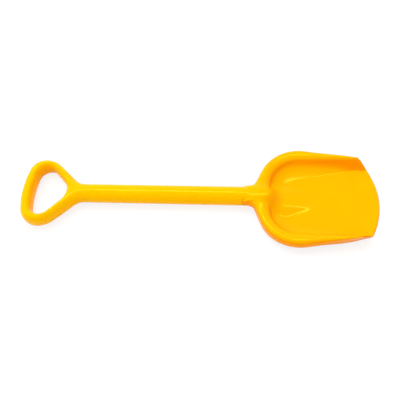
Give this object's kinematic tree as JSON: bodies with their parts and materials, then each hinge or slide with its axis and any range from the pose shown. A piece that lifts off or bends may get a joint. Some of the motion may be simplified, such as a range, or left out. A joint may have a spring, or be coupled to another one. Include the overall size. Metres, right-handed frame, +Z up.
{
  "type": "sand shovel",
  "caption": "Sand shovel with a shallow pan-shaped scoop, a round tubular shaft and a hollow D-shaped hand grip.",
  "frame": {"origin": "on the ground under the middle of the overall length, as the shovel lies on its pan and shaft", "axes": "+X from the grip to the scoop's tip, +Z up out of the open pan, +Y to the left seen from the grip"},
  "size_m": [0.5, 0.1488, 0.026],
  "materials": {
    "yellow_plastic": "glossy moulded, warm yellow"
  },
  "bodies": {
    "root": {"scoop": "yellow_plastic", "shaft": "yellow_plastic", "grip_upper_half": "yellow_plastic", "grip_lower_half": "yellow_plastic", "scoop_peg": "yellow_plastic", "grip_peg": "yellow_plastic"}
  },
  "joints": []
}
